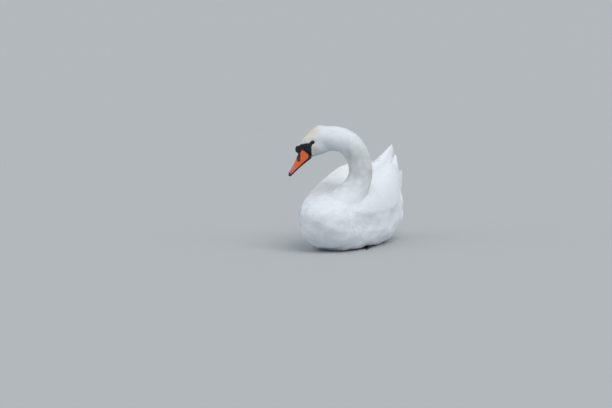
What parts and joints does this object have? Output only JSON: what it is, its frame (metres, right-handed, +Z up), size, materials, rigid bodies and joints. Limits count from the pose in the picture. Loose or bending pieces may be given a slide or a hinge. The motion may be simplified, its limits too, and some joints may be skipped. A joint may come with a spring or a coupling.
{
  "type": "mute swan",
  "caption": "Life-size still model of a mute swan resting on its belly, neck arched and head turned to its right, wings folded and raised, feet tucked under.",
  "frame": {"origin": "centre of the belly's flat, on the floor plane under the widest part of the body", "axes": "+Z up; -Y towards the breast, +Y towards the tail; +X towards the bird's left wing"},
  "size_m": [0.2478, 0.6635, 0.3931],
  "materials": {
    "plumage": "soft white feathers",
    "bill_orange": "horny, slightly satin",
    "bill_black": "bare skin and horn, satin",
    "eye": "wet, glossy",
    "foot_skin": "scaly, dull"
  },
  "bodies": {
    "root": {"trunk": "plumage", "neck_lower": "plumage", "neck_middle": "plumage", "neck_upper": "plumage", "head": "plumage", "bill_upper": "bill_orange", "bill_lower": "bill_black", "bill_knob": "bill_black", "eye_left": "eye", "eye_right": "eye", "wing_left": "plumage", "wing_right": "plumage", "tail": "plumage", "leg_left": "foot_skin", "leg_right": "foot_skin", "foot_left": "foot_skin", "foot_right": "foot_skin"}
  },
  "joints": []
}
